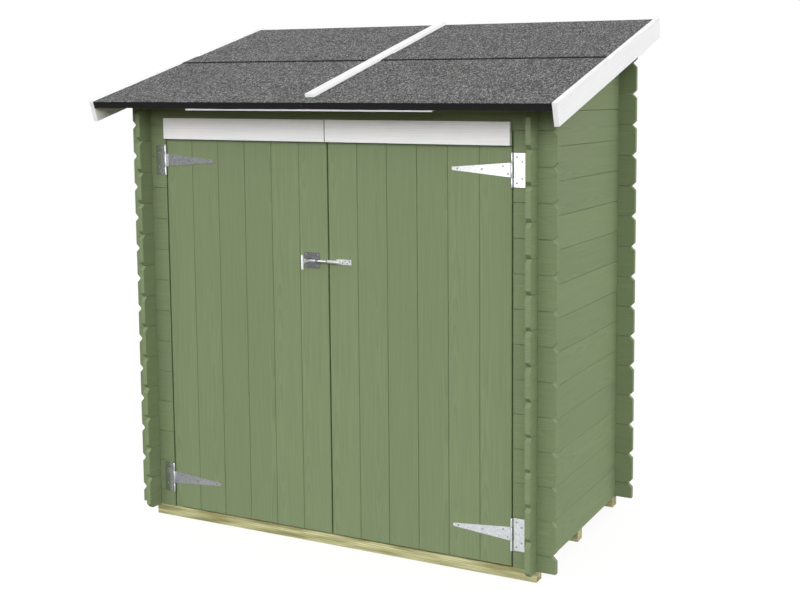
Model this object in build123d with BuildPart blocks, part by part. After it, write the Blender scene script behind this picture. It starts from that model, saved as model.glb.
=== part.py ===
"""Garden shed of lapped horizontal logs with a pent roof and double doors, in millimetres.

X runs to the right along the front, Y to the rear and Z up from the ground.
Heights are counted from the ground and depths from the outer face of the front wall.
"""

import os
from math import ceil, cos, radians, sin, sqrt, tan

from build123d import *

os.makedirs("parts", exist_ok=True)

# Walls of stacked logs
shed_width = 1645
shed_depth = 852
log_height = 121
log_thickness = 19
front_log_overhang = 70
side_log_overhang = 64
log_end_chamfer = 16
seam_gap = 0.3
seam_depth = 2
lap_play = 0.3
tongue_height = 7
tongue_thickness = 6
tongue_play = 0.4
logs_beside_door = 12

# Bearers and floor
bearer_height = 40
bearer_depth = 45
floor_thickness = 19
floor_play = 3

# Door posts behind the cut log ends
post_width = 60
post_depth = 28
post_stop = 15

# Roof
roof_pitch = 16.7
roof_half_width = 936
deck_thickness = 17
deck_joint = 1
felt_thickness = 2.5
felt_lip = 26
eave_overhang = 166
rear_overhang = 72
felt_lap_place = 388
felt_lap = 80
batten_width = 38
batten_height = 13
batten_setback = 60
lath_length = 1016
lath_height = 13.5
lath_depth = 40
lath_setback = 0.3
bargeboard_width = 80
bargeboard_thickness = 18
bargeboard_rise = 2
bargeboard_rear_reach = 20

# Door leaves
board_width = 121
boards_per_leaf = 6
leaf_thickness = 14
door_gap = 5
board_groove = 2
ledge_height = 90
ledge_thickness = 18
ledge_inset = 25
ledge_post_play = 8
brace_width = 80
head_board_height = 80
head_board_thickness = 18
head_board_lap = 46
head_board_inset = 0.5

# T hinges
hinge_height = 116
hinge_sheet = 2.5
hinge_plate_reach = 47
knuckle_radius = 5.5
knuckle_gap = 0.5
pin_radius = 2.5
pin_play = 0.1
pin_head = 1.5
pin_head_radius = 4
strap_length = 228
strap_root_height = 50
strap_tip_height = 12
lower_hinge_height = 115.5
upper_hinge_drop = 128

# Latch: a bolt with a T handle on the left leaf, a socket on the right one
latch_height = 1068
latch_plate_width = 66
latch_plate_height = 58
latch_plate_edge = 35.5
latch_sheet = 2.5
latch_corner = 6
bolt_radius = 4.25
bolt_stand_off = 11
bolt_length = 101
bolt_play = 0.35
stem_radius = 3.75
handle_stand_off = 64
handle_radius = 5
handle_length = 54
handle_round = 2.5
hub_radius = 6.5
hub_length = 8
guide_length = 8
guide_wall = 3
guide_spacing = 32
keeper_width = 62
keeper_height = 19
socket_wall = 1.25
socket_length = 33
socket_foot = 19

# Cuts run past the solid by this much
overrun = 10

# Roof plane: its underside starts at the top front edge of the lintel log
pitch = radians(roof_pitch)
half_log = log_height / 2
doorway_top = bearer_height + half_log + logs_beside_door * log_height
lintel_top = doorway_top + log_height
roof_top = deck_thickness + felt_thickness
slope_start = -eave_overhang
slope_end = (shed_depth + rear_overhang - roof_top * sin(pitch)) / cos(pitch)
bargeboard_top = roof_top + bargeboard_rise
bargeboard_rear = slope_end * cos(pitch) + bargeboard_rear_reach

# The model is centred front to back on its bargeboards, which reach furthest
eave_reach = slope_start * cos(pitch) - bargeboard_top * sin(pitch)
wall_front = -(eave_reach + bargeboard_rear) / 2

# Doorway and leaves
half_gap = door_gap / 2
leaf_width = boards_per_leaf * board_width
leaf_edge = half_gap + leaf_width
doorway_half = leaf_edge + door_gap
leaf_bottom = bearer_height + door_gap
leaf_top = doorway_top - door_gap
hinge_x = leaf_edge + half_gap
hinge_heights = (leaf_bottom + lower_hinge_height, leaf_top - upper_hinge_drop)
wall_inner = shed_width / 2 - log_thickness
floor_top = bearer_height + floor_thickness
post_inner = doorway_half - post_stop
post_outer = post_inner + post_width
sides = {"left": -1, "right": 1}


def roof_height(depth):
    """Height of the roof's underside at a depth behind the front wall's face."""
    return lintel_top + depth * tan(pitch)


def section(x):
    """Plane across the shed: depth and height, facing right."""
    return Plane(origin=(x, wall_front, 0), x_dir=(0, 1, 0), z_dir=(1, 0, 0))


def elevation(depth):
    """Plane along the front: X and height, facing forward."""
    return Plane(origin=(0, wall_front + depth, 0), x_dir=(1, 0, 0), z_dir=(0, -1, 0))


def plan(height):
    """Level plane: X and depth, facing up."""
    return Plane(origin=(0, wall_front, height), x_dir=(1, 0, 0), z_dir=(0, 0, 1))


def roof_section(x):
    """Plane across the roof: distance up the slope and height off the deck's underside."""
    origin = (x, wall_front, lintel_top)
    return Plane(origin=origin, x_dir=(0, cos(pitch), sin(pitch)), z_dir=(1, 0, 0))


def area(x0, x1, y0, y1, mode=Mode.ADD):
    """Rectangle between two corners in the active sketch."""
    with Locations(((x0 + x1) / 2, (y0 + y1) / 2)):
        Rectangle(abs(x1 - x0), abs(y1 - y0), mode=mode)


def outline(*points, mode=Mode.ADD):
    """Straight-sided outline in the active sketch."""
    with BuildLine() as edges:
        Polyline(*points, close=True)
    make_face(edges.edges(), mode=mode)


def save(piece, name):
    """Name a finished piece and write it."""
    piece.part.label = name
    export_step(piece.part, f"parts/{name}.step")


def diamonds(places, radius):
    """Squares on their corners in the active sketch, which cut V joints."""
    side = radius * sqrt(2)
    with Locations(*places):
        Rectangle(side, side, rotation=45)


def draw_logs(start, end, levels, lap_places, lap_levels):
    """Face outlines of one wall's logs, notched where the crossing wall laps them."""
    for low, high in zip(levels, levels[1:]):
        area(start, end, low + seam_gap / 2, high - seam_gap / 2)
    with Locations(*[(place, level) for place in lap_places for level in lap_levels]):
        Rectangle(log_thickness + 2 * lap_play, half_log + seam_gap, mode=Mode.SUBTRACT)


def chamfer_log_ends(ends, levels):
    """Cut the corners of the free log ends at each seam."""
    side = log_end_chamfer * sqrt(2)
    with Locations(*[(end, level) for end in ends for level in levels]):
        Rectangle(side, side, rotation=45, mode=Mode.SUBTRACT)


def joint_logs(cross_plane, middle, run, levels):
    """Tongue and groove between the logs, drawn across the wall and run between the laps."""
    with BuildSketch(cross_plane.offset(-tongue_play)) as grooves:
        for level in levels:
            half = tongue_thickness / 2 + tongue_play
            area(middle - half, middle + half, level, level + tongue_height + tongue_play)
    extrude(grooves.sketch, amount=run + 2 * tongue_play, mode=Mode.SUBTRACT)
    with BuildSketch(cross_plane) as tongues:
        for level in levels:
            half = tongue_thickness / 2
            area(middle - half, middle + half, level - seam_gap / 2, level + tongue_height)
    extrude(tongues.sketch, amount=run)


def bevel_seams(cross_plane, faces, run, levels):
    """V joint along both faces of the wall at each seam."""
    with BuildSketch(cross_plane) as cutters:
        diamonds([(face, level) for face in faces for level in levels], seam_depth)
    extrude(cutters.sketch, amount=run, mode=Mode.SUBTRACT)


def cut_above_roof():
    """Trim the active part to the roof's underside."""
    reach = shed_width / 2 + front_log_overhang + overrun
    run = slope_end + lintel_top
    with BuildSketch(roof_section(-reach)) as above:
        area(slope_start - lintel_top, run, 0, lintel_top)
    extrude(above.sketch, amount=2 * reach, mode=Mode.SUBTRACT)


# Bearers, floor and posts
bearer_places = {
    "front_bearer": 0,
    "middle_bearer": (shed_depth - bearer_depth) / 2,
    "rear_bearer": shed_depth - bearer_depth,
}
for name, depth in bearer_places.items():
    with BuildPart() as bearer:
        with BuildSketch(section(-shed_width / 2)):
            area(depth, depth + bearer_depth, 0, bearer_height)
        extrude(amount=shed_width)
    save(bearer, name)

with BuildPart() as floor:
    with BuildSketch(plan(bearer_height)):
        half = wall_inner - floor_play
        front = log_thickness + floor_play
        area(-half, half, front, shed_depth - front)
    extrude(amount=floor_thickness)
save(floor, "floor")

for side_name, side in sides.items():
    with BuildPart() as post:
        with BuildSketch(plan(floor_top)):
            area(side * post_inner, side * post_outer, log_thickness, log_thickness + post_depth)
        extrude(amount=doorway_top + half_log - floor_top)
    save(post, f"{side_name}_door_post")

# Side walls: whole logs from the bearers up, the top ones cut to the roof
side_log_start = -side_log_overhang
side_log_end = shed_depth + side_log_overhang
side_log_count = ceil((roof_height(side_log_end) - bearer_height) / log_height)
side_levels = [bearer_height + n * log_height for n in range(side_log_count + 1)]
side_laps = (log_thickness / 2, shed_depth - log_thickness / 2)
side_tongues = [level for level in side_levels[1:] if level + tongue_height < lintel_top]
lap_end = log_thickness + lap_play

for side_name, side in sides.items():
    inner = side * wall_inner
    outer = side * shed_width / 2
    with BuildPart() as side_wall:
        with BuildSketch(section(min(inner, outer))):
            draw_logs(side_log_start, side_log_end, side_levels, side_laps, side_levels)
            chamfer_log_ends((side_log_start, side_log_end), side_levels)
        extrude(amount=log_thickness)
        joint_run = shed_depth - 2 * lap_end
        joint_logs(elevation(shed_depth - lap_end), (inner + outer) / 2, joint_run, side_tongues)
        full_run = side_log_end - side_log_start
        bevel_seams(elevation(side_log_end), (inner, outer), full_run, side_levels[1:])
        cut_above_roof()
    save(side_wall, f"{side_name}_wall")

# Front and rear walls start with a half log, so their seams fall between the side walls' seams
front_log_end = shed_width / 2 + front_log_overhang
corner = shed_width / 2 - log_thickness / 2
first_level = bearer_height + half_log
rear_log_count = round((roof_height(shed_depth) - first_level) / log_height)
rear_levels = [first_level + n * log_height for n in range(rear_log_count)]
rear_top = roof_height(shed_depth)
lap_limit = wall_inner - lap_play

with BuildPart() as rear_wall:
    with BuildSketch(elevation(shed_depth)):
        lap_levels = [*rear_levels, rear_levels[-1] + log_height]
        levels = [bearer_height, *rear_levels, rear_top]
        draw_logs(-front_log_end, front_log_end, levels, (-corner, corner), lap_levels)
        chamfer_log_ends((-front_log_end, front_log_end), rear_levels)
    extrude(amount=log_thickness)
    rear_middle = shed_depth - log_thickness / 2
    joint_logs(section(-lap_limit), rear_middle, 2 * lap_limit, rear_levels)
    rear_faces = (shed_depth - log_thickness, shed_depth)
    bevel_seams(section(-front_log_end), rear_faces, 2 * front_log_end, rear_levels)
    cut_above_roof()
save(rear_wall, "rear_wall")

front_levels = [first_level + n * log_height for n in range(logs_beside_door + 1)]
front_faces = (0, log_thickness)
for side_name, side in sides.items():
    jamb = side * doorway_half
    end = side * front_log_end
    with BuildPart() as front_wall:
        with BuildSketch(elevation(log_thickness)):
            draw_logs(jamb, end, [bearer_height, *front_levels], (side * corner,), front_levels)
            chamfer_log_ends((end,), front_levels)
        extrude(amount=log_thickness)
        tongue_start = min(jamb, side * lap_limit)
        tongue_run = lap_limit - doorway_half
        joint_logs(section(tongue_start), log_thickness / 2, tongue_run, front_levels[:-1])
        run = front_log_end - doorway_half
        bevel_seams(section(min(jamb, end)), front_faces, run, front_levels)
    save(front_wall, f"front_wall_{side_name}")

with BuildPart() as lintel:
    with BuildSketch(elevation(log_thickness)):
        levels = [doorway_top, lintel_top]
        draw_logs(-front_log_end, front_log_end, levels, (-corner, corner), levels)
        chamfer_log_ends((-front_log_end, front_log_end), levels)
    extrude(amount=log_thickness)
    bevel_seams(section(-front_log_end), front_faces, 2 * front_log_end, levels[:1])
save(lintel, "lintel_log")

# Roof panels, felt in two courses a panel, and the white trim
deck_start = slope_start + felt_thickness
deck_end = slope_end - felt_thickness
lap_top = roof_top + felt_thickness
for side_name, side in sides.items():
    joint = side * deck_joint / 2
    edge = side * roof_half_width
    panel_run = roof_half_width - deck_joint / 2
    panel_plane = roof_section(min(joint, edge))
    with BuildPart() as deck:
        with BuildSketch(panel_plane):
            area(deck_start, deck_end, 0, deck_thickness)
        extrude(amount=panel_run)
    save(deck, f"{side_name}_roof_deck")

    with BuildPart() as lower_felt:
        with BuildSketch(panel_plane):
            area(deck_start, felt_lap_place + felt_lap, deck_thickness, roof_top)
            area(slope_start, deck_start, roof_top - felt_lip, roof_top)
        extrude(amount=panel_run)
    save(lower_felt, f"{side_name}_lower_felt")

    with BuildPart() as upper_felt:
        with BuildSketch(panel_plane):
            lap_edge = felt_lap_place + felt_lap
            area(felt_lap_place, lap_edge + felt_thickness, roof_top, lap_top)
            area(lap_edge, deck_end, deck_thickness, roof_top)
            area(deck_end, slope_end, roof_top - felt_lip, roof_top)
        extrude(amount=panel_run)
    save(upper_felt, f"{side_name}_upper_felt")

    with BuildPart() as bargeboard:
        with BuildSketch(roof_section(min(edge, edge + side * bargeboard_thickness))):
            low = bargeboard_top - bargeboard_width
            rear_low = (bargeboard_rear + low * sin(pitch)) / cos(pitch)
            rear_high = (bargeboard_rear + bargeboard_top * sin(pitch)) / cos(pitch)
            outline(
                (slope_start, low),
                (rear_low, low),
                (rear_high, bargeboard_top),
                (slope_start, bargeboard_top),
            )
        extrude(amount=bargeboard_thickness)
    save(bargeboard, f"{side_name}_bargeboard")

with BuildPart() as batten:
    with BuildSketch(roof_section(-batten_width / 2)):
        area(slope_start + batten_setback, slope_end, roof_top, roof_top + batten_height)
        area(felt_lap_place, lap_edge + felt_thickness, roof_top, lap_top, mode=Mode.SUBTRACT)
    extrude(amount=batten_width)
save(batten, "roof_joint_batten")

with BuildPart() as lath:
    with BuildSketch(roof_section(-lath_length / 2)):
        lath_start = slope_start + felt_thickness + lath_setback
        area(lath_start, lath_start + lath_depth, -lath_height, 0)
    extrude(amount=lath_length)
save(lath, "eaves_joining_lath")

# Door leaves with their ledges, braces and head boards
ledge_heights = (*hinge_heights[:1], sum(hinge_heights) / 2, *hinge_heights[1:])
ledge_inner = half_gap + ledge_inset
ledge_outer = post_inner - ledge_post_play
ledge_back = leaf_thickness + ledge_thickness
for side_name, side in sides.items():
    with BuildPart() as leaf:
        with BuildSketch(elevation(leaf_thickness)):
            area(side * half_gap, side * leaf_edge, leaf_bottom, leaf_top)
        extrude(amount=leaf_thickness)
        with BuildSketch(plan(leaf_bottom)):
            seams = [half_gap + n * board_width for n in range(1, boards_per_leaf)]
            diamonds([(side * x, face) for x in seams for face in (0, leaf_thickness)], board_groove)
        extrude(amount=leaf_top - leaf_bottom, mode=Mode.SUBTRACT)
    save(leaf, f"{side_name}_door_panel")

    with BuildPart() as ledges:
        with BuildSketch(elevation(ledge_back)):
            for height in ledge_heights:
                low = height - ledge_height / 2
                area(side * ledge_inner, side * ledge_outer, low, low + ledge_height)
        extrude(amount=ledge_thickness)
    save(ledges, f"{side_name}_door_ledges")

    with BuildPart() as braces:
        with BuildSketch(elevation(ledge_back)):
            for lower, upper in zip(ledge_heights, ledge_heights[1:]):
                foot = lower + ledge_height / 2
                head = upper - ledge_height / 2
                outline(
                    (side * ledge_outer, foot),
                    (side * (ledge_outer - brace_width), foot),
                    (side * ledge_inner, head),
                    (side * (ledge_inner + brace_width), head),
                )
        extrude(amount=ledge_thickness)
    save(braces, f"{side_name}_door_braces")

    with BuildPart() as head_board:
        board_end = leaf_edge - head_board_inset
        start = min(side * half_gap, side * board_end)
        bottom = leaf_top - head_board_lap
        top = bottom + head_board_height
        with BuildSketch(section(start)):
            area(-head_board_thickness, 0, bottom, top)
            area(-door_gap, 0, leaf_top, top, mode=Mode.SUBTRACT)
        extrude(amount=board_end - half_gap)
    save(head_board, f"{side_name}_head_board")

# T hinges: plates with the outer knuckles, straps with the middle one
bore_radius = pin_radius + pin_play
for side_name, side in sides.items():
    axis = (side * hinge_x, -knuckle_radius)
    plate_edge = hinge_x + knuckle_radius + knuckle_gap
    with BuildPart() as plates:
        for height in hinge_heights:
            low = height - hinge_height / 2
            middle_low = height - strap_root_height / 2 - knuckle_gap
            middle_high = height + strap_root_height / 2 + knuckle_gap
            with BuildSketch(elevation(0)):
                area(side * hinge_x, side * (hinge_x + hinge_plate_reach), low, low + hinge_height)
                area(side * hinge_x, side * plate_edge, middle_low, middle_high, mode=Mode.SUBTRACT)
            extrude(amount=hinge_sheet)
            for start, end in ((low, middle_low), (middle_high, low + hinge_height)):
                with BuildSketch(plan(start)):
                    with Locations(axis):
                        Circle(knuckle_radius)
                extrude(amount=end - start)
            with BuildSketch(plan(low)):
                with Locations(axis):
                    Circle(bore_radius)
            extrude(amount=hinge_height, mode=Mode.SUBTRACT)
    save(plates, f"{side_name}_hinge_plates")

    with BuildPart() as pins:
        for height in hinge_heights:
            low = height - hinge_height / 2
            with BuildSketch(plan(low)):
                with Locations(axis):
                    Circle(pin_radius)
            extrude(amount=hinge_height)
            with BuildSketch(plan(low + hinge_height)):
                with Locations(axis):
                    Circle(pin_head_radius)
            extrude(amount=pin_head)
    save(pins, f"{side_name}_hinge_pins")

    with BuildPart() as straps:
        for height in hinge_heights:
            root = strap_root_height / 2
            tip = strap_tip_height / 2
            tip_x = side * (hinge_x - strap_length + tip)
            with BuildSketch(elevation(0)):
                outline(
                    (side * hinge_x, height - root),
                    (tip_x, height - tip),
                    (tip_x, height + tip),
                    (side * hinge_x, height + root),
                )
                with Locations((tip_x, height)):
                    Circle(tip)
            extrude(amount=hinge_sheet)
            with BuildSketch(plan(height - root)):
                with Locations(axis):
                    Circle(knuckle_radius)
            extrude(amount=strap_root_height)
            with BuildSketch(plan(height - root)):
                with Locations(axis):
                    Circle(bore_radius)
            extrude(amount=strap_root_height, mode=Mode.SUBTRACT)
    save(straps, f"{side_name}_hinge_straps")

# Latch
bolt_axis = (-bolt_stand_off, latch_height)
guide_bore = bolt_radius + bolt_play
guide_radius = guide_bore + guide_wall
plate_right = -half_gap - latch_plate_edge
plate_middle = plate_right - latch_plate_width / 2
right_guide = plate_right - guide_length
left_guide = right_guide - guide_spacing - guide_length
with BuildPart() as latch_plate:
    with BuildSketch(elevation(0)):
        with Locations((plate_middle, latch_height)):
            RectangleRounded(latch_plate_width, latch_plate_height, latch_corner)
    extrude(amount=latch_sheet)
    for start in (left_guide, right_guide):
        with BuildSketch(section(start)):
            with Locations(bolt_axis):
                Circle(guide_radius)
            area(-bolt_stand_off, 0, latch_height - guide_radius, latch_height + guide_radius)
            with Locations(bolt_axis):
                Circle(guide_bore, mode=Mode.SUBTRACT)
        extrude(amount=guide_length)
save(latch_plate, "latch_plate")

with BuildPart() as latch_bolt:
    with BuildSketch(plan(latch_height - handle_length / 2)):
        with Locations((plate_middle, -handle_stand_off)):
            Circle(handle_radius)
    extrude(amount=handle_length)
    handle_ends = latch_bolt.edges().group_by(Axis.Z)
    fillet(handle_ends[0] + handle_ends[-1], handle_round)
    with BuildSketch(elevation(-handle_stand_off)):
        with Locations((plate_middle, latch_height)):
            Circle(stem_radius)
    extrude(amount=bolt_stand_off - handle_stand_off)
    with BuildSketch(elevation(-handle_stand_off)):
        with Locations((plate_middle, latch_height)):
            Circle(hub_radius)
    extrude(amount=-handle_radius - hub_length)
    with BuildSketch(section(-half_gap)):
        with Locations(bolt_axis):
            Circle(bolt_radius)
    extrude(amount=-bolt_length)
save(latch_bolt, "latch_bolt")

with BuildPart() as keeper:
    socket_radius = guide_bore + socket_wall
    plate_left = half_gap + socket_length
    with BuildSketch(elevation(0)):
        with Locations((plate_left + keeper_width / 2, latch_height)):
            Rectangle(keeper_width, keeper_height)
    extrude(amount=latch_sheet)
    with BuildSketch(section(half_gap)):
        with Locations(bolt_axis):
            Circle(socket_radius)
    extrude(amount=socket_length + socket_foot)
    with BuildSketch(section(plate_left)):
        area(-bolt_stand_off, 0, latch_height - socket_radius, latch_height + socket_radius)
    extrude(amount=socket_foot)
    with BuildSketch(section(half_gap)):
        with Locations(bolt_axis):
            Circle(guide_bore)
    extrude(amount=socket_length, mode=Mode.SUBTRACT)
save(keeper, "latch_keeper")
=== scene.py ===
"""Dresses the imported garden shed: camera, light, materials, boards, felt and fixings.

Lengths are in metres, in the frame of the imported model: X right, Y to the rear, Z up.
"""

from collections import namedtuple
from math import cos, pi, radians, sin, tau

import bmesh
import bpy
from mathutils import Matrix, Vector


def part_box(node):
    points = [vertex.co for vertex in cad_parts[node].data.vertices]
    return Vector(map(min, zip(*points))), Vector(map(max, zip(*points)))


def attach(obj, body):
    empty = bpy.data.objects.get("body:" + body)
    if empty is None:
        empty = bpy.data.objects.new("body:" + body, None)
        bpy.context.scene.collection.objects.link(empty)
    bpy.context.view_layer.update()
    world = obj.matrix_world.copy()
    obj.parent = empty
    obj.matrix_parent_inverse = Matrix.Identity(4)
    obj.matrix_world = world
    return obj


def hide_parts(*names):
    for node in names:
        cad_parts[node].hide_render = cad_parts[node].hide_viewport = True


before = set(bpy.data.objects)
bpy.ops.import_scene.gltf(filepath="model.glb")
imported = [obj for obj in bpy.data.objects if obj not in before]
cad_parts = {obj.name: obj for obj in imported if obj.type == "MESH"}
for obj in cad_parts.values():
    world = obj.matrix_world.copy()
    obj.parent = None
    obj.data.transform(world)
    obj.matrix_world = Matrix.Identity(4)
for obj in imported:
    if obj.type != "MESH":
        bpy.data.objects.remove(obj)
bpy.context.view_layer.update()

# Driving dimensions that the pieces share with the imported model
SIDES = {"left": -1, "right": 1}
LOG = 0.121
SEAM = 0.0003
BOARD = 0.121
LEDGE_HEIGHT = 0.09
LEDGES = 3
BRACE_RISE = radians(41.8)
PITCH = radians(16.7)
FELT = 0.0025
SHEET = 0.0025
HINGE_HEIGHT = 0.116

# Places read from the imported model
LINTEL_LOW, LINTEL_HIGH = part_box("lintel_log")
FRONT_FACE = LINTEL_LOW.y
WALL = LINTEL_HIGH.y - LINTEL_LOW.y
REAR_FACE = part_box("rear_wall")[1].y
WALL_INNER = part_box("right_wall")[0].x
BEARER_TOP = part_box("front_bearer")[1].z
LEAF_LOW, LEAF_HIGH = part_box("right_door_panel")
HALF_GAP = LEAF_LOW.x
LEAF_BACK = LEAF_HIGH.y
BOARDS_PER_LEAF = round((LEAF_HIGH.x - LEAF_LOW.x) / BOARD)
HINGE_AXIS = LEAF_HIGH.x + HALF_GAP
SHEET_FACE = FRONT_FACE - SHEET
ROOF_ORIGIN = Vector((0, FRONT_FACE, LINTEL_HIGH.z + SEAM / 2))

# Directions
FORWARD = Vector((0, -1, 0))
SLOPE = Vector((0, cos(PITCH), sin(PITCH)))
NORMAL = Vector((0, -sin(PITCH), cos(PITCH)))
QUARTER = pi / 2

# Edges of a roof node: in X, in distance up the roof, and in height off the deck's underside
RoofExtent = namedtuple("RoofExtent", "left right start end low high")


def roof_point(x, along, height):
    """A point given by X, distance up the roof and height off the deck's underside."""
    return ROOF_ORIGIN + Vector((x, 0, 0)) + SLOPE * along + NORMAL * height


def roof_extent(node):
    """Where a roof node lies, measured along and across the slope."""
    box_low, box_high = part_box(node)
    points = [vertex.co - ROOF_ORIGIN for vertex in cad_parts[node].data.vertices]
    along = [point.dot(SLOPE) for point in points]
    height = [point.dot(NORMAL) for point in points]
    return RoofExtent(box_low.x, box_high.x, min(along), max(along), min(height), max(height))


def spaced(start, end, count):
    """Evenly spaced places from start to end."""
    step = (end - start) / (count - 1)
    return [start + step * index for index in range(count)]


# Node materials
class Shader:
    """The nodes of a material, or of the world, while they are put together."""

    def __init__(self, owner):
        owner.use_nodes = True
        self.owner = owner
        self.tree = owner.node_tree
        self.surface = self.tree.nodes.get("Principled BSDF")

    def add(self, kind, inputs=None, **settings):
        node = self.tree.nodes.new(kind)
        for key, value in settings.items():
            setattr(node, key, value)
        for key, value in (inputs or {}).items():
            self.feed(node.inputs[key], value)
        return node

    def feed(self, socket, value):
        if isinstance(value, bpy.types.NodeSocket):
            self.tree.links.new(value, socket)
        else:
            socket.default_value = value

    def math(self, operation, *values):
        node = self.add("ShaderNodeMath", dict(enumerate(values)), operation=operation)
        return node.outputs[0]

    def split(self, vector):
        return self.add("ShaderNodeSeparateXYZ", {0: vector}).outputs

    def join(self, x, y, z):
        return self.add("ShaderNodeCombineXYZ", {0: x, 1: y, 2: z}).outputs[0]

    def place(self):
        """The place of a point on the piece."""
        return self.add("ShaderNodeTexCoord").outputs["Object"]

    def mapped(self, vector, **changes):
        return self.add("ShaderNodeMapping", {"Vector": vector, **changes}).outputs[0]

    def noise(self, vector, scale, detail, roughness=0.5):
        inputs = {"Vector": vector, "Scale": scale, "Detail": detail, "Roughness": roughness}
        return self.add("ShaderNodeTexNoise", inputs).outputs["Fac"]

    def cells(self, vector, scale):
        return self.add("ShaderNodeTexVoronoi", {"Vector": vector, "Scale": scale}).outputs

    def fit(self, value, low, high, new_low, new_high, kind="LINEAR"):
        """Map one range of values onto another."""
        inputs = {
            "Value": value, "From Min": low, "From Max": high, "To Min": new_low, "To Max": new_high,
        }
        return self.add("ShaderNodeMapRange", inputs, interpolation_type=kind).outputs[0]

    def waver(self, value, amount, base):
        """A base that moves up or down as a value from 0 to 1 leaves its middle."""
        return self.math("MULTIPLY_ADD", self.math("SUBTRACT", value, 0.5), amount, base)

    def blend(self, factor, a, b):
        node = self.add("ShaderNodeMix", data_type="RGBA")
        self.feed(node.inputs["Factor"], factor)
        self.feed(node.inputs["A"], a)
        self.feed(node.inputs["B"], b)
        return node.outputs["Result"]

    def scale(self, vector, amount):
        node = self.add("ShaderNodeVectorMath", {0: vector}, operation="SCALE")
        self.feed(node.inputs["Scale"], amount)
        return node.outputs[0]

    def bump(self, height, distance, strength):
        inputs = {"Height": height, "Distance": distance, "Strength": strength}
        node = self.add("ShaderNodeBump", inputs)
        self.feed(self.surface.inputs["Normal"], node.outputs[0])

    def gloss(self, level):
        self.surface.inputs["Specular IOR Level"].default_value = level

    def finish(self, colour, roughness):
        self.feed(self.surface.inputs["Base Color"], colour)
        self.feed(self.surface.inputs["Roughness"], roughness)
        return self.owner


def new_shader(name):
    return Shader(bpy.data.materials.new(name))


def linear(red, green, blue):
    """A colour written in sRGB display values from 0 to 255, as the shader wants it."""
    def decode(value):
        value = value / 255
        return value / 12.92 if value <= 0.04045 else ((value + 0.055) / 1.055) ** 2.4
    return (decode(red), decode(green), decode(blue), 1.0)


# Softwood has yearly rings round a heart, whose place across the board and depth sway along it
YEAR_WIDTH = 0.005
HEART_SPREAD = 0.19
HEART_SWAY = 0.02
HEART_DEPTH = 0.035
DEPTH_SWAY = 0.09
SWAY_SCALE = 0.9
SWAY_SQUEEZE = 3.0
LATE_WOOD_POWER = 2.0

# Each board shows another stretch of the pattern, up to this far along
BOARD_SHIFT = 17.0

# Fibres run along the grain and make the rings a little wavy
FIBRE_SCALE = 2.0
FIBRE_SQUEEZE_ALONG = 2.0
FIBRE_SQUEEZE_ACROSS = 190.0
FIBRE_WAVE = 0.5
FIBRE_RANGE = (0.2, 0.8)

# Distances from the middle of a joint between boards, over which painted shade makes the paint in it
# darker
JOINT_SHADE_OUTER = 0.0032
JOINT_SHADE_INNER = 0.0012

# Rotations that turn the grain's direction onto the X axis of the pattern. Those of the floor and the
# deck also turn the width of the boards, which lie flat there, onto its Z axis.
GRAIN_TURN = {
    "X": (0, 0, 0),
    "Y": (0, 0, -QUARTER),
    "Z": (0, QUARTER, 0),
    "slope": (-PITCH, 0, -QUARTER),
    "floor": (0, -QUARTER, -QUARTER),
    "deck": (-PITCH, -QUARTER, -QUARTER),
    "left brace": (0, BRACE_RISE, 0),
    "right brace": (0, pi - BRACE_RISE, 0),
}

# What a wood material is mixed from. island is a value of each solid's own, and joint is where painted
# shade darkens the joints.
Grain = namedtuple("Grain", "rings fibres island joint")


def grain(shader, run, pitch=None, start=0.0):
    """Growth rings and fibres of sawn softwood. Each board cuts its own rings near the heart of a tree.

    run names the direction of the grain. pitch and start are the width of the boards and the place of
    an edge, so that each board gets a heart of its own and painted shade can darken the joints.
    """
    turned = shader.mapped(shader.place(), Rotation=GRAIN_TURN[run])
    island = shader.add("ShaderNodeNewGeometry").outputs["Random Per Island"]
    along, through, across = shader.split(turned)
    joint = None
    if pitch:
        shifted = shader.math("SUBTRACT", across, start)
        across = shader.math("SUBTRACT", shader.math("FLOORED_MODULO", shifted, pitch), pitch / 2)
        # Near a joint, where painted shade darkens the paint
        off_middle = shader.math("ABSOLUTE", across)
        joint = shader.fit(off_middle, pitch / 2 - JOINT_SHADE_OUTER, pitch / 2 - JOINT_SHADE_INNER, 0.0, 1.0)
    moved = shader.math("MULTIPLY_ADD", island, BOARD_SHIFT, along)

    sway_place = shader.join(moved, shader.math("MULTIPLY", across, SWAY_SQUEEZE), island)
    sway = shader.math("SUBTRACT", shader.noise(sway_place, SWAY_SCALE, detail=1.0), 0.5)
    heart = shader.math("MULTIPLY_ADD", island, HEART_SPREAD, -HEART_SPREAD / 2)
    side = shader.math("MULTIPLY_ADD", sway, HEART_SWAY, shader.math("SUBTRACT", across, heart))
    depth = shader.math("MULTIPLY_ADD", sway, DEPTH_SWAY, HEART_DEPTH)
    squares = shader.math("ADD", shader.math("POWER", side, 2.0), shader.math("POWER", depth, 2.0))
    years = shader.math("DIVIDE", shader.math("SQRT", squares), YEAR_WIDTH)

    fibre_along = shader.math("MULTIPLY", moved, FIBRE_SQUEEZE_ALONG)
    fibre_across = shader.math("MULTIPLY", across, FIBRE_SQUEEZE_ACROSS)
    fibre_place = shader.join(fibre_along, fibre_across, through)
    fibres = shader.noise(fibre_place, FIBRE_SCALE, detail=3.0, roughness=0.6)
    wavy = shader.math("MULTIPLY_ADD", fibres, FIBRE_WAVE, years)
    rings = shader.math("POWER", shader.math("FRACT", wavy), LATE_WOOD_POWER)
    return Grain(rings, fibres, island, joint)


def fibre_roughness(shader, wood, smoothest, roughest):
    """Roughness that follows the fibres."""
    return shader.fit(wood.fibres, *FIBRE_RANGE, smoothest, roughest)


# Bare spruce: two colours of early wood and two of late wood
SPRUCE_EARLY = (linear(226, 196, 150), linear(214, 178, 128))
SPRUCE_LATE = (linear(176, 124, 74), linear(196, 148, 96))
SPRUCE_LATE_SHARE = 0.75
SPRUCE_BUMP = {"distance": 0.0004, "strength": 0.4}
SPRUCE_ROUGHNESS = (0.55, 0.7)


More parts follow.
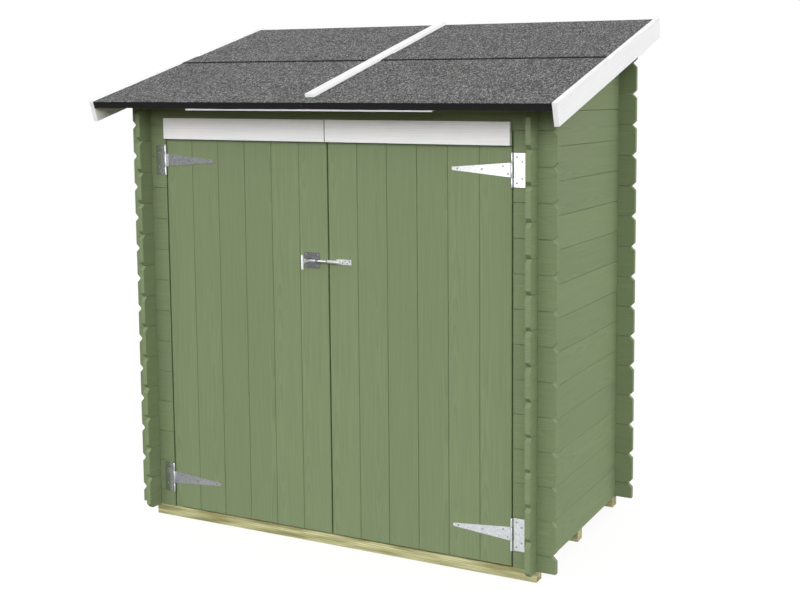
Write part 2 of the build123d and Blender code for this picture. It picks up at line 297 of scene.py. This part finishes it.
def bare_colour(shader, wood):
    """Planed spruce: pale early wood, browner late wood."""
    early = shader.blend(wood.island, *SPRUCE_EARLY)
    late = shader.blend(wood.fibres, *SPRUCE_LATE)
    return shader.blend(shader.math("MULTIPLY", wood.rings, SPRUCE_LATE_SHARE), early, late)


def bare_wood(name, run):
    """Planed spruce without paint."""
    shader = new_shader(name)
    wood = grain(shader, run)
    shader.bump(wood.fibres, **SPRUCE_BUMP)
    return shader.finish(bare_colour(shader, wood), fibre_roughness(shader, wood, *SPRUCE_ROUGHNESS))


# Paint: how far rings, fibres and boards change its tone, and how far painted shade darkens it in joints
RING_TONE = -0.11
RING_TONE_BALANCE = 0.03
FIBRE_TONE = 0.42
BOARD_TONE = 0.08
JOINT_SHADE_TONE = -0.05
RING_RELIEF = -0.5
PAINT_BUMP = {"distance": 0.0005, "strength": 0.5}
PAINT_GLOSS = 0.22
PAINT_ROUGHNESS = (0.6, 0.76)
GREEN = linear(127, 141, 104)
WHITE = linear(249, 249, 249)
WHITE_SHOW_SHARE = 0.6


def painted_wood(name, colour, run, pitch=None, start=0.0, inside=None, show=1.0):
    """Opaque paint over softwood: rings and fibres show faintly, by the given share, and in relief.

    inside tells which faces are bare.
    """
    shader = new_shader(name)
    wood = grain(shader, run, pitch, start)
    tone = shader.math("MULTIPLY_ADD", wood.rings, RING_TONE * show, 1 + RING_TONE_BALANCE * show)
    tone = shader.waver(wood.fibres, FIBRE_TONE * show, tone)
    tone = shader.waver(wood.island, BOARD_TONE * show, tone)
    if pitch:
        # Painted shade in the joints between boards and logs
        tone = shader.math("MULTIPLY_ADD", wood.joint, JOINT_SHADE_TONE, tone)
    surface = shader.scale(colour[:3], tone)
    if inside:
        surface = shader.blend(inside(shader), surface, bare_colour(shader, wood))
    shader.bump(shader.math("MULTIPLY_ADD", wood.rings, RING_RELIEF, wood.fibres), **PAINT_BUMP)
    shader.gloss(PAINT_GLOSS)
    return shader.finish(surface, fibre_roughness(shader, wood, *PAINT_ROUGHNESS))


# Treated bearers: two colours of early wood in streaks, one of late wood
TREATED_EARLY = (linear(218, 217, 166), linear(148, 145, 92))
TREATED_LATE = linear(108, 98, 54)
TREATED_LATE_SHARE = 0.6
TREATED_BUMP = {"distance": 0.001, "strength": 0.7}
TREATED_ROUGHNESS = (0.65, 0.85)
STREAK_SQUEEZE = (5, 60, 60)
STREAK_RANGE = (0.35, 0.65)


def treated_wood(name, run):
    """Sawn, pressure treated softwood with a pale olive tint."""
    shader = new_shader(name)
    wood = grain(shader, run)
    streak_place = shader.mapped(shader.place(), Scale=STREAK_SQUEEZE)
    streaks = shader.fit(shader.noise(streak_place, 1.0, detail=3.0), *STREAK_RANGE, 0.0, 1.0)
    early = shader.blend(streaks, *TREATED_EARLY)
    late_share = shader.math("MULTIPLY", wood.rings, TREATED_LATE_SHARE)
    shader.bump(wood.fibres, **TREATED_BUMP)
    colour = shader.blend(late_share, early, TREATED_LATE)
    return shader.finish(colour, fibre_roughness(shader, wood, *TREATED_ROUGHNESS))


# Roofing felt: granules, specks among them, and patches that differ a little
GRANULE_COLOURS = (linear(12, 12, 13), linear(187, 187, 186))
GRANULE_SQUEEZE = (1, 0.5, 1)
GRANULES_PER_METRE = 290.0
GRANULE_CONTRAST = 3.2
SPECKS_PER_METRE = 480.0
SPECK_CONTRAST = 2.0
SPECK_SHARE = 0.3
PATCH_SCALE = 9.0
PATCH_TONE = 0.15
GRANULE_BUMP = {"distance": 0.0012, "strength": 0.9}
GRANULE_ROUGHNESS = 0.92


def roofing_felt():
    """Mineral felt: grey granules of mixed tone, bedded in bitumen."""
    shader = new_shader("roofing_felt")
    place = shader.place()
    turned = shader.mapped(place, Rotation=(-PITCH, 0, 0))
    granules = shader.cells(shader.mapped(turned, Scale=GRANULE_SQUEEZE), GRANULES_PER_METRE)
    specks = shader.cells(place, SPECKS_PER_METRE)
    patches = shader.noise(place, PATCH_SCALE, detail=3.0, roughness=0.6)
    granule = shader.math("POWER", shader.split(granules["Color"])[0], GRANULE_CONTRAST)
    speck = shader.math("POWER", shader.split(specks["Color"])[1], SPECK_CONTRAST)
    base = shader.math("MULTIPLY", granule, 1 - SPECK_SHARE)
    tone = shader.waver(patches, PATCH_TONE, shader.math("MULTIPLY_ADD", speck, SPECK_SHARE, base))
    shader.bump(shader.math("SUBTRACT", 1.0, specks["Distance"]), **GRANULE_BUMP)
    return shader.finish(shader.blend(tone, *GRANULE_COLOURS), GRANULE_ROUGHNESS)


# Bitumen at the felt's edges
BITUMEN_COLOURS = (linear(15, 15, 17), linear(36, 36, 38))
BITUMEN_SCALE = 160.0
BITUMEN_BUMP = {"distance": 0.0006, "strength": 0.5}
BITUMEN_GLOSS = 0.2
BITUMEN_ROUGHNESS = 0.85


def bitumen():
    """Bare felt edge."""
    shader = new_shader("bitumen")
    mottle = shader.noise(shader.place(), BITUMEN_SCALE, detail=3.0, roughness=0.6)
    shader.bump(mottle, **BITUMEN_BUMP)
    shader.gloss(BITUMEN_GLOSS)
    return shader.finish(shader.blend(mottle, *BITUMEN_COLOURS), BITUMEN_ROUGHNESS)


# Zinc: the roughness of its smoothest places, and what spangle and haze add
ZINC_ROUGHNESS = 0.14
SPANGLES_PER_METRE = 190.0
SPANGLE_ROUGHNESS = 0.04
HAZE_SCALE = 60.0
HAZE_ROUGHNESS = 0.12
HAZE_BUMP = {"distance": 0.0002, "strength": 0.2}
DULL_COAT_METALLIC = 0.4


def galvanised(name, dark, light, metallic=1.0):
    """Zinc coated steel with a faint spangle. A dull white coat is less metallic."""
    shader = new_shader(name)
    place = shader.place()
    spangle = shader.split(shader.cells(place, SPANGLES_PER_METRE)["Color"])[0]
    haze = shader.noise(place, HAZE_SCALE, detail=4.0, roughness=0.6)
    clear = shader.math("MULTIPLY_ADD", spangle, SPANGLE_ROUGHNESS, ZINC_ROUGHNESS)
    hazy = shader.math("MULTIPLY_ADD", haze, HAZE_ROUGHNESS, clear)
    shader.surface.inputs["Metallic"].default_value = metallic
    shader.bump(haze, **HAZE_BUMP)
    return shader.finish(shader.blend(spangle, dark, light), hazy)


# Boards laid here: about how wide, half the joint between two, and the chamfer beside a joint
FLOOR_BOARD = 0.1
FLOOR_JOINT = 0.0006
ROOF_BOARD = 0.104
ROOF_JOINT = 0.0003
DOOR_JOINT = 0.0002
CHAMFER = 0.002

# How far the bare inside goes round its edges, on the logs and past the chamfers of the door boards
LOG_BARE_EDGE = 0.0008
LEAF_BARE_EDGE = 0.0003


def inside_walls(shader):
    """1 on the faces that look into the shed, 0 on the painted outside."""
    x, y = shader.split(shader.place())[:2]
    between = shader.math("LESS_THAN", shader.math("ABSOLUTE", x), WALL_INNER + LOG_BARE_EDGE)
    behind = shader.math("GREATER_THAN", y, FRONT_FACE + WALL - LOG_BARE_EDGE)
    before = shader.math("LESS_THAN", y, REAR_FACE - WALL + LOG_BARE_EDGE)
    return shader.math("MULTIPLY", between, shader.math("MULTIPLY", behind, before))


def back_of_door(shader):
    """1 on the faces of the door boards that look into the shed."""
    depth = shader.split(shader.place())[1]
    return shader.math("GREATER_THAN", depth, LEAF_BACK - CHAMFER - LEAF_BARE_EDGE)


front_log_paint = painted_wood("green_logs_across", GREEN, "X", LOG, BEARER_TOP + LOG / 2, inside_walls)
side_log_paint = painted_wood("green_logs_along", GREEN, "Y", LOG, BEARER_TOP, inside_walls)
white_slope = painted_wood("white_slope_boards", WHITE, "slope", show=WHITE_SHOW_SHARE)
white_across = painted_wood("white_cross_boards", WHITE, "X", show=WHITE_SHOW_SHARE)
spruce_across = bare_wood("spruce_across", "X")
spruce_upright = bare_wood("spruce_upright", "Z")
spruce_floor = bare_wood("spruce_floor", "floor")
spruce_deck = bare_wood("spruce_deck", "deck")
bearer_wood = treated_wood("treated_bearers", "X")
felt_granules = roofing_felt()
felt_edge = bitumen()
steel = galvanised("galvanised_steel", linear(198, 200, 203), linear(214, 216, 218))
dull_steel = galvanised("dull_steel", linear(146, 148, 150), linear(166, 168, 170))
bright_zinc = galvanised("bright_zinc", linear(226, 228, 230), linear(238, 240, 241), DULL_COAT_METALLIC)
screw_steel = galvanised("screw_steel", linear(150, 151, 154), linear(176, 177, 179))

# Rounds on sharp edges
LOG_ROUND = 0.0007
BOARD_ROUND = 0.0006
POST_ROUND = 0.001
LATH_ROUND = 0.001
TRIM_ROUND = 0.0012
TIMBER_ROUND = 0.0015
HINGE_ROUND = 0.0004
LATCH_ROUND = 0.0005
ROUND_SEGMENTS = 2
SHARP_ANGLE = radians(30)
FLAT_ANGLE = radians(1)
SAME_POINT = 0.00001


# Pieces
def soften(piece, width):
    """Round off a piece's sharp edges."""
    bevel = piece.modifiers.new("soft_edges", "BEVEL")
    bevel.width = width
    bevel.segments = ROUND_SEGMENTS
    bevel.limit_method = "ANGLE"
    bevel.angle_limit = SHARP_ANGLE


def dress(node, material, edge):
    """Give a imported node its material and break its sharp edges."""
    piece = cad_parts[node]
    for place in piece.material_slots:
        place.link = "OBJECT"
        place.material = material
    weld = piece.modifiers.new("weld", "WELD")
    weld.merge_threshold = SAME_POINT
    flat = piece.modifiers.new("flat_faces", "DECIMATE")
    flat.decimate_type = "DISSOLVE"
    flat.angle_limit = FLAT_ANGLE
    soften(piece, edge)


def new_piece(name, mesh, materials, body, replaces=(), edge=0.0):
    """Put a finished mesh in the scene, riding on a body."""
    data = bpy.data.meshes.new(name)
    bmesh.ops.recalc_face_normals(mesh, faces=mesh.faces)
    mesh.to_mesh(data)
    mesh.free()
    for material in materials:
        data.materials.append(material)
    piece = bpy.data.objects.new(name, data)
    bpy.context.scene.collection.objects.link(piece)
    if edge:
        soften(piece, edge)
    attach(piece, body)
    if replaces:
        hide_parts(*replaces)


def add_prism(mesh, outline, stations, place, material=lambda index: 0):
    """Run an outline through stations. place turns a station and an outline point into a point."""
    rows = [[mesh.verts.new(place(station, *point)) for point in outline] for station in stations]
    count = len(outline)
    for row, following in zip(rows, rows[1:]):
        for index in range(count):
            after = (index + 1) % count
            face = mesh.faces.new((row[index], row[after], following[after], following[index]))
            face.material_index = material(index)
    mesh.faces.new(rows[0])
    mesh.faces.new(rows[-1])


# Logs, bearers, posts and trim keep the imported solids
for node in ("rear_wall", "front_wall_left", "front_wall_right", "lintel_log"):
    dress(node, front_log_paint, LOG_ROUND)
for side_name in SIDES:
    dress(f"{side_name}_wall", side_log_paint, LOG_ROUND)
    dress(f"{side_name}_door_post", spruce_upright, POST_ROUND)
    dress(f"{side_name}_bargeboard", white_slope, TRIM_ROUND)
    dress(f"{side_name}_head_board", white_across, TRIM_ROUND)
    dress(f"{side_name}_door_ledges", spruce_across, TIMBER_ROUND)
    brace_wood = bare_wood(f"spruce_{side_name}_braces", f"{side_name} brace")
    dress(f"{side_name}_door_braces", brace_wood, TIMBER_ROUND)
    for part in ("plates", "pins", "straps"):
        dress(f"{side_name}_hinge_{part}", steel, HINGE_ROUND)
dress("roof_joint_batten", white_slope, TIMBER_ROUND)
dress("eaves_joining_lath", white_across, LATH_ROUND)
for node in ("front_bearer", "middle_bearer", "rear_bearer"):
    dress(node, bearer_wood, TIMBER_ROUND)
dress("latch_plate", dull_steel, LATCH_ROUND)
dress("latch_bolt", bright_zinc, LATCH_ROUND)
dress("latch_keeper", bright_zinc, LATCH_ROUND)


# Boards
def filling(left, right, about):
    """Width and number of the boards, about as wide as asked, that fill a span."""
    count = round((right - left) / about)
    return (right - left) / count, count


def side_by_side(left, width, count, joint):
    """Left and right edges of boards laid side by side. joint is half the gap between two."""
    for index in range(count):
        near = left + index * width + joint
        yield near, near + width - 2 * joint


def door_boards(side_name, side):
    """Upright boards with chamfered edges."""
    low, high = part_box(f"{side_name}_door_panel")
    front, back = low.y, high.y
    mesh = bmesh.new()
    for left, right in side_by_side(low.x, BOARD, BOARDS_PER_LEAF, DOOR_JOINT):
        outline = [
            (left + CHAMFER, front), (right - CHAMFER, front),
            (right, front + CHAMFER), (right, back - CHAMFER),
            (right - CHAMFER, back), (left + CHAMFER, back),
            (left, back - CHAMFER), (left, front + CHAMFER),
        ]
        add_prism(mesh, outline, (low.z, high.z), lambda z, x, y: Vector((x, y, z)))
    paint = painted_wood(f"green_{side_name}_door", GREEN, "Z", BOARD, -side * HALF_GAP, back_of_door)
    new_piece(f"{side_name}_door_boards", mesh, [paint], f"{side_name}_door",
              [f"{side_name}_door_panel"], BOARD_ROUND)


def floor_boards():
    """Boards from front to rear over the bearers."""
    low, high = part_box("floor")
    width, count = filling(low.x, high.x, FLOOR_BOARD)
    mesh = bmesh.new()
    for left, right in side_by_side(low.x, width, count, FLOOR_JOINT):
        outline = [(left, low.z), (right, low.z), (right, high.z), (left, high.z)]
        add_prism(mesh, outline, (low.y, high.y), lambda y, x, z: Vector((x, y, z)))
    new_piece("floor_boards", mesh, [spruce_floor], "shed", ["floor"], TIMBER_ROUND)


def roof_boards(side_name):
    """Boards up the slope, chamfered underneath."""
    node = f"{side_name}_roof_deck"
    deck = roof_extent(node)
    width, count = filling(deck.left, deck.right, ROOF_BOARD)
    shoulder = deck.low + CHAMFER
    mesh = bmesh.new()

    def place(along, x, height):
        return roof_point(x, along, height)

    for near, far in side_by_side(deck.left, width, count, ROOF_JOINT):
        outline = [
            (near + CHAMFER, deck.low), (far - CHAMFER, deck.low), (far, shoulder),
            (far, deck.high), (near, deck.high), (near, shoulder),
        ]
        add_prism(mesh, outline, (deck.start, deck.end), place)
    new_piece(f"{side_name}_roof_boards", mesh, [spruce_deck], "shed", [node], BOARD_ROUND)


for side_name, side in SIDES.items():
    door_boards(side_name, side)
floor_boards()
for side_name in SIDES:
    roof_boards(side_name)

# Felt is folded down over the deck's edges, and its upper course laps the lower one
FOLD = 0.004
FOLD_STEPS = 6
EDGE_STATIONS = 60
LIP_LIFT = 0.001
LIP_WANDER = 0.0004
LAP_WANDER = 0.0008

# Distances past the lap, where the upper course steps down: the end of the step on top, and its start
# and end underneath
STEP_TOP_END = 0.03
STEP_UNDER_START = 0.001
STEP_UNDER_END = 0.006

# Waves of an edge cut and laid by hand: share of its size, radians a metre, start
WAVES = ((1.0, 9, 1.3), (0.6, 23, 0.4), (0.4, 61, 0.0))

# Section of the bead at the lap, bitumen squeezed out that is also a dark strip of painted shade under the
# upper course's edge: distance up the slope from the felt's edge, height off the lower course
BEAD = ((-0.012, 0), (-0.0105, 0.001), (-0.005, 0.0019), (0.0005, 0.0023), (0.0005, 0))
BEAD_WANDER = 0.0006
BEAD_WAVE_SHIFT = 0.7


def wander(x, size):
    """Slight waviness of an edge cut and laid by hand."""
    return size * sum(share * sin(rate * x + start) for share, rate, start in WAVES)


def fold(centre, radius, first, last):
    """Points of a round fold, in distance up the roof and height off the deck's underside."""
    along, height = centre
    angles = spaced(first, last, FOLD_STEPS + 1)
    return [(along + radius * cos(angle), height + radius * sin(angle)) for angle in angles]


def felt_sheet(node, top, rest, place):
    """A sheet of felt. rest starts with the fold, and granules go from the top half way round that."""
    felt = roof_extent(node)
    granule_edges = len(top) + FOLD_STEPS // 2
    stations = spaced(felt.left, felt.right, EDGE_STATIONS)
    mesh = bmesh.new()
    add_prism(mesh, top + rest, stations, place, lambda index: 0 if index < granule_edges else 1)
    new_piece(f"{node}_sheet", mesh, [felt_granules, felt_edge], "shed", [node])


def lower_felt(side_name):
    """The course at the eave, folded down over the deck's front edge."""
    node = f"{side_name}_lower_felt"
    felt = roof_extent(node)
    bend = (felt.start + FOLD, felt.high - FOLD)
    top = [(felt.end, felt.high)]
    rest = [
        *fold(bend, FOLD, QUARTER, pi), (felt.start, felt.low),
        (felt.start + FELT, felt.low), *fold(bend, FOLD - FELT, pi, QUARTER), (felt.end, felt.high - FELT),
    ]

    def place(x, along, height):
        lift = LIP_LIFT + wander(x, LIP_WANDER) if height < felt.low + FELT else 0
        return roof_point(x, along, height + lift)

    felt_sheet(node, top, rest, place)


def upper_felt(side_name):
    """The course that laps the lower one and is folded down over the deck's rear edge."""
    node = f"{side_name}_upper_felt"
    felt = roof_extent(node)
    lap_end = roof_extent(f"{side_name}_lower_felt").end
    level = felt.high - FELT
    bend = (felt.end - FOLD, level - FOLD)
    top = [(felt.start, felt.high), (lap_end, felt.high), (lap_end + STEP_TOP_END, level)]
    rest = [
        *fold(bend, FOLD, QUARTER, 0), (felt.end, felt.low),
        (felt.end - FELT, felt.low), *fold(bend, FOLD - FELT, 0, QUARTER),
        (lap_end + STEP_UNDER_END, level - FELT), (lap_end + STEP_UNDER_START, level), (felt.start, level),
    ]

    def place(x, along, height):
        shift = wander(x, LAP_WANDER) if along < felt.start + FELT else 0
        return roof_point(x, along + shift, height)

    felt_sheet(node, top, rest, place)


def lap_shade_bead(side_name):
    """Bitumen squeezed out along the lap, which also paints the shade under the upper course's edge."""
    felt = roof_extent(f"{side_name}_upper_felt")
    base = felt.high - FELT
    mesh = bmesh.new()

    def place(x, along, height):
        shift = wander(x, LAP_WANDER) if along > 0 else wander(x + BEAD_WAVE_SHIFT, BEAD_WANDER)
        return roof_point(x, felt.start + along + shift, base + height)

    add_prism(mesh, BEAD, spaced(felt.left, felt.right, EDGE_STATIONS), place)
    new_piece(f"{side_name}_lap_shade_bead", mesh, [felt_edge], "shed")


for side_name in SIDES:
    lower_felt(side_name)
    upper_felt(side_name)
    lap_shade_bead(side_name)

# Screw heads: a dome, as shares of radius and height from the rim in, and a lobed recess in its middle
SCREW_SIDES = 24
SCREW_DOME_SHARES = ((1.0, 0.0), (0.97, 0.45), (0.75, 0.85))
SCREW_RECESS_SHARES = ((0.48, 1.0), (0.42, 0.2))
LOBES = 6
LOBE_SHARE = 0.18

# Radius and height of each kind of head
HINGE_SCREW = (0.0036, 0.0014)
LATCH_SCREW = (0.0034, 0.0014)
KEEPER_SCREW = (0.0028, 0.0012)
LEDGE_SCREW = (0.0038, 0.0009)
BATTEN_NAIL = (0.0028, 0.0007)

# Places of screws: on a hinge, distance from its axis and height over its middle. The others are
# distances from an edge or from the middle of what they hold.
STRAP_PLACES = ((0.016, -0.013), (0.034, 0.012), (0.113, 0.0), (0.206, 0.0))
PLATE_PLACES = ((0.017, 0.044), (0.036, 0.028), (0.017, -0.044), (0.036, -0.028))
LATCH_INSET = 0.008
KEEPER_SCREWS = 4
KEEPER_FIRST = 0.036
KEEPER_LAST = 0.006
KEEPER_RISE = 0.0035
LEDGE_SCREW_RISE = 0.022
NAILS = 5
NAIL_INSET_FRONT = 0.05
NAIL_INSET_REAR = 0.09


def add_screw(mesh, centre, facing, radius, height):
    """A low domed head with a lobed recess, on a surface that faces the given way."""
    facing = facing.normalized()
    across = facing.orthogonal().normalized()
    upright = facing.cross(across)

    def ring(reach_share, rise_share, lobe_share):
        points = []
        for index in range(SCREW_SIDES):
            angle = tau * index / SCREW_SIDES
            reach = radius * reach_share * (1 + lobe_share * cos(LOBES * angle))
            offset = across * cos(angle) * reach + upright * sin(angle) * reach
            points.append(mesh.verts.new(centre + offset + facing * height * rise_share))
        return points

    rings = [ring(*shares, 0.0) for shares in SCREW_DOME_SHARES]
    rings += [ring(*shares, LOBE_SHARE) for shares in SCREW_RECESS_SHARES]
    for inner, outer in zip(rings[1:], rings):
        for index in range(SCREW_SIDES):
            after = (index + 1) % SCREW_SIDES
            mesh.faces.new((outer[index], outer[after], inner[after], inner[index]))
    mesh.faces.new(rings[-1])
    mesh.faces.new(list(reversed(rings[0])))


def hinge_screws(side_name, side, part, way, places, body):
    """Screws of the straps or of the plates, on the given side of the hinge's axis."""
    low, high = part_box(f"{side_name}_hinge_plates")
    mesh = bmesh.new()
    for middle in (low.z + HINGE_HEIGHT / 2, high.z - HINGE_HEIGHT / 2):
        for reach, rise in places:
            centre = Vector((side * HINGE_AXIS + way * reach, SHEET_FACE, middle + rise))
            add_screw(mesh, centre, FORWARD, *HINGE_SCREW)
    new_piece(f"{side_name}_{part}_screws", mesh, [screw_steel], body)


def ledge_screws(side_name, side):
    """Two screws through each ledge into each door board."""
    low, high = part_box(f"{side_name}_door_ledges")
    middles = spaced(low.z + LEDGE_HEIGHT / 2, high.z - LEDGE_HEIGHT / 2, LEDGES)
    mesh = bmesh.new()
    for board in range(BOARDS_PER_LEAF):
        x = side * (HALF_GAP + (board + 0.5) * BOARD)
        for middle in middles:
            for rise in (-LEDGE_SCREW_RISE, LEDGE_SCREW_RISE):
                add_screw(mesh, Vector((x, high.y, middle + rise)), -FORWARD, *LEDGE_SCREW)
    new_piece(f"{side_name}_ledge_screws", mesh, [screw_steel], f"{side_name}_door")


def latch_plate_screws():
    """A screw in each corner."""
    low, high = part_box("latch_plate")
    mesh = bmesh.new()
    for x in (low.x + LATCH_INSET, high.x - LATCH_INSET):
        for z in (low.z + LATCH_INSET, high.z - LATCH_INSET):
            add_screw(mesh, Vector((x, SHEET_FACE, z)), FORWARD, *LATCH_SCREW)
    new_piece("latch_plate_screws", mesh, [screw_steel], "left_door")


def latch_keeper_screws():
    """A staggered row beside the socket."""
    low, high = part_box("latch_keeper")
    middle = (low.z + high.z) / 2
    mesh = bmesh.new()
    for index, x in enumerate(spaced(high.x - KEEPER_FIRST, high.x - KEEPER_LAST, KEEPER_SCREWS)):
        rise = KEEPER_RISE if index % 2 else -KEEPER_RISE
        add_screw(mesh, Vector((x, SHEET_FACE, middle + rise)), FORWARD, *KEEPER_SCREW)
    new_piece("latch_keeper_screws", mesh, [screw_steel], "right_door")


def batten_nails():
    """Painted nail heads along the roof's batten."""
    batten = roof_extent("roof_joint_batten")
    mesh = bmesh.new()
    for along in spaced(batten.start + NAIL_INSET_FRONT, batten.end - NAIL_INSET_REAR, NAILS):
        add_screw(mesh, roof_point(0, along, batten.high), NORMAL, *BATTEN_NAIL)
    new_piece("batten_nails", mesh, [white_slope], "shed")


for side_name, side in SIDES.items():
    hinge_screws(side_name, side, "strap", -side, STRAP_PLACES, f"{side_name}_door")
    hinge_screws(side_name, side, "plate", side, PLATE_PLACES, "shed")
    ledge_screws(side_name, side)
latch_plate_screws()
latch_keeper_screws()
batten_nails()

# Studio floor: its grey under the shed's shadow, its glow to the eye, and how far the fittings mirror
# that glow, which fades from one X to the other
FLOOR_SIZE = 12
FLOOR_GREY = (0.13, 0.13, 0.13, 1)
FLOOR_ROUGHNESS = 0.95
FLOOR_GLOW = 0.89
FLOOR_FADE = (-1.3, 0.3)
FLOOR_MIRRORED_SHARES = (0.15, 1.0)

# Light: a ring round the shed, which sets in and ends between heights over the horizon, in degrees. It is
# dimmer at the rear, away from its bearing, and what the fittings mirror is dim towards another bearing.
# Bearings are in degrees from the front to the right. RING_SIDE and DIM_EDGE say where the level changes,
# from -1, straight away from the bearing, to 1, straight towards it.
RING_BEARING = 24
RING_LOW = (2, 10)
RING_HIGH = (30, 46)
RING_SIDE = (-0.75, -0.35)
RING_LEVEL = 3.08
RING_REAR_SHARE = 0.4
DIM_BEARING = -62
DIM_EDGE = (0.76, 0.9)
DIM_LEVEL = 0.3

# White panel in front
PANEL_WIDTH = 5.6
PANEL_HEIGHT = 2.6
PANEL_WATTS = 78
PANEL_DISTANCE = 5.6
PANEL_PLACE = (0.7, FRONT_FACE - PANEL_DISTANCE, 1.5)

# Camera, solved from the photograph. Focal length and lens axis are in pixels, yaw and tilt in radians.
PICTURE_WIDTH = 800
PICTURE_HEIGHT = 600
FOCAL_LENGTH = 1163.2
LENS_AXIS = (499.13, 207.93)
CAMERA_DISTANCE = 3.5630
CAMERA_PLACE = (2.2962, FRONT_FACE - CAMERA_DISTANCE, 1.6723)
CAMERA_YAW = 0.4256
CAMERA_TILT = -0.0974
SENSOR_WIDTH = 36


def seen_rays(shader):
    """The kinds of ray, and 1 for those that look: from the camera, mirrored or through glass.

    It is 0 for rays that carry light to a matt surface.
    """
    path = shader.add("ShaderNodeLightPath").outputs
    seen = shader.math("MAXIMUM", path["Is Camera Ray"], path["Is Glossy Ray"])
    return path, shader.math("MAXIMUM", seen, path["Is Transmission Ray"])


def studio_floor():
    """Pale floor that looks white to the camera, and still takes the shed's shadow."""
    bpy.ops.mesh.primitive_plane_add(size=FLOOR_SIZE, location=(0, 0, 0))
    ground = bpy.context.object
    ground.name = "studio_floor"
    shader = new_shader("studio_floor")
    tree = shader.tree
    shader.finish(FLOOR_GREY, FLOOR_ROUGHNESS)
    path, seen = seen_rays(shader)
    x = shader.split(shader.place())[0]
    mirrored = shader.fit(x, *FLOOR_FADE, *FLOOR_MIRRORED_SHARES)
    shown = shader.math("MAXIMUM", path["Is Camera Ray"], mirrored)
    strength = shader.math("MULTIPLY", shader.math("MULTIPLY", seen, shown), FLOOR_GLOW)
    glow = shader.add("ShaderNodeEmission", {"Strength": strength})
    both = shader.add("ShaderNodeAddShader", {0: shader.surface.outputs[0], 1: glow.outputs[0]})
    tree.links.new(both.outputs[0], tree.nodes["Material Output"].inputs["Surface"])
    ground.data.materials.append(shader.owner)


def surroundings():
    """White to the eye and dim in front where the fittings mirror it. The light is a broad, low ring."""
    world = bpy.data.worlds.new("surroundings")
    bpy.context.scene.world = world
    shader = Shader(world)
    path, seen = seen_rays(shader)
    x, y, z = shader.split(shader.add("ShaderNodeTexCoord").outputs["Generated"])

    def towards(bearing):
        """1 straight towards a bearing, -1 straight away from it."""
        angle = radians(bearing)
        return shader.math("MULTIPLY_ADD", y, -cos(angle), shader.math("MULTIPLY", x, sin(angle)))

    def over_horizon(heights, new_low, new_high):
        low, high = [sin(radians(height)) for height in heights]
        return shader.fit(z, low, high, new_low, new_high, "SMOOTHSTEP")

    setting_in = over_horizon(RING_LOW, 0.0, RING_LEVEL)
    ring = shader.math("MULTIPLY", setting_in, over_horizon(RING_HIGH, 1.0, 0.0))
    side = shader.fit(towards(RING_BEARING), *RING_SIDE, RING_REAR_SHARE, 1.0, "SMOOTHSTEP")
    lit = shader.math("MULTIPLY", ring, side)
    mirrored = shader.fit(towards(DIM_BEARING), *DIM_EDGE, 1.0, DIM_LEVEL, "SMOOTHSTEP")
    shown = shader.math("MAXIMUM", mirrored, path["Is Camera Ray"])
    strength = shader.math("MULTIPLY_ADD", seen, shader.math("SUBTRACT", shown, lit), lit)
    light = shader.tree.nodes["Background"]
    light.inputs["Color"].default_value = (1, 1, 1, 1)
    shader.feed(light.inputs["Strength"], strength)


def mirrored_panel():
    """A long white panel in front, which only the fittings show."""
    panel = bpy.data.lights.new("mirrored_panel", "AREA")
    panel.shape = "RECTANGLE"
    panel.size = PANEL_WIDTH
    panel.size_y = PANEL_HEIGHT
    panel.energy = PANEL_WATTS
    lamp = bpy.data.objects.new("mirrored_panel", panel)
    lamp.location = PANEL_PLACE
    lamp.rotation_euler = (QUARTER, 0, 0)
    lamp.visible_camera = False
    lamp.visible_diffuse = False
    bpy.context.scene.collection.objects.link(lamp)


def camera():
    """The photograph is a crop, so the lens axis lies off the middle of the frame."""
    axis_x, axis_y = LENS_AXIS
    data = bpy.data.cameras.new("camera")
    data.sensor_width = SENSOR_WIDTH
    data.lens = FOCAL_LENGTH / PICTURE_WIDTH * data.sensor_width
    data.shift_x = (PICTURE_WIDTH / 2 - axis_x) / PICTURE_WIDTH
    data.shift_y = (axis_y - PICTURE_HEIGHT / 2) / PICTURE_WIDTH
    view = bpy.data.objects.new("camera", data)
    view.location = CAMERA_PLACE
    level = cos(CAMERA_TILT)
    ahead = Vector((-sin(CAMERA_YAW) * level, cos(CAMERA_YAW) * level, sin(CAMERA_TILT)))
    view.rotation_euler = ahead.to_track_quat("-Z", "Y").to_euler()
    bpy.context.scene.collection.objects.link(view)
    bpy.context.scene.camera = view


studio_floor()
surroundings()
mirrored_panel()
camera()
bpy.context.scene.view_settings.view_transform = "Standard"
